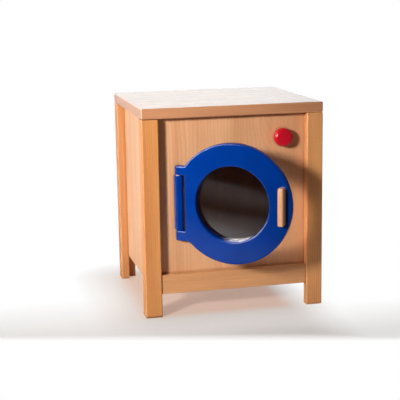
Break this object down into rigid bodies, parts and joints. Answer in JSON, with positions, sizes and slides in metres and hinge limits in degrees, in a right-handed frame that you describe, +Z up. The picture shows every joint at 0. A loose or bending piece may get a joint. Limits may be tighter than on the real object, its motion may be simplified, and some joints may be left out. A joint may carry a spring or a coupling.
{
  "type": "toy washing machine",
  "caption": "Wooden play washing machine: a cabinet on four legs with a flat top, a round blue door with a window on a knuckle hinge, a bar handle and a turning knob.",
  "frame": {"origin": "on the floor, under the middle of the cabinet", "axes": "+Z up out of the worktop, the door side faces -Y, +X to the right as seen by someone facing the door"},
  "size_m": [0.44, 0.5561, 0.5],
  "materials": {
    "beech_top": "clear-oiled beech, horizontal grain",
    "beech_rail": "clear-oiled beech, horizontal grain",
    "beech_leg": "clear-oiled beech, upright grain",
    "beech_panel": "clear-oiled beech veneer, upright grain",
    "beech_batten": "planed beech",
    "beech_dowel": "planed beech dowel",
    "blue_lacquer": "wood with a glossy blue lacquer",
    "red_lacquer": "turned wood with a glossy red lacquer",
    "beech_handle": "pale oiled beech",
    "smoked_plastic": "see-through, lightly smoked, polished",
    "nylon": "white nylon",
    "steel": "zinc plated"
  },
  "bodies": {
    "cabinet": {"back_panel": "beech_panel", "back_panel_screws": "steel", "batten_screws": "steel", "floor_batten_left": "beech_batten", "floor_batten_right": "beech_batten", "floor_panel": "beech_panel", "floor_screws": "steel", "front_panel": "beech_panel", "front_panel_screws": "steel", "front_rail": "beech_rail", "hinge_bush_lower": "nylon", "hinge_bush_upper": "nylon", "hinge_knuckle": "blue_lacquer", "knob_bush": "nylon", "knob_washer": "nylon", "knuckle_screws": "steel", "leg_back_left": "beech_leg", "leg_back_right": "beech_leg", "leg_dowels": "beech_dowel", "leg_front_left": "beech_leg", "leg_front_right": "beech_leg", "rail_dowels": "beech_dowel", "side_panel_left": "beech_panel", "side_panel_right": "beech_panel", "strike_plate": "steel", "top_batten_left": "beech_batten", "top_batten_right": "beech_batten", "top_plate": "beech_top", "top_plate_screws": "steel"},
    "door": {"door_ring": "blue_lacquer", "window_pane": "smoked_plastic", "pane_screws": "steel", "door_handle": "beech_handle", "handle_screws": "steel", "hinge_pin_upper": "steel", "hinge_pin_lower": "steel", "door_magnet": "steel"},
    "knob": {"knob": "red_lacquer", "knob_bolt": "steel", "knob_inner_washer": "steel", "knob_nut": "steel"}
  },
  "joints": [
    {"name": "door_hinge", "type": "hinge", "parent": "cabinet", "child": "door", "pos_m": [-0.133, -0.19, 0.279], "axis": [0, 0, -1], "range_deg": [-33, 122]},
    {"name": "knob_turn", "type": "hinge", "parent": "cabinet", "child": "knob", "pos_m": [0.123, -0.18, 0.418], "axis": [0, -1, 0], "continuous": true}
  ]
}
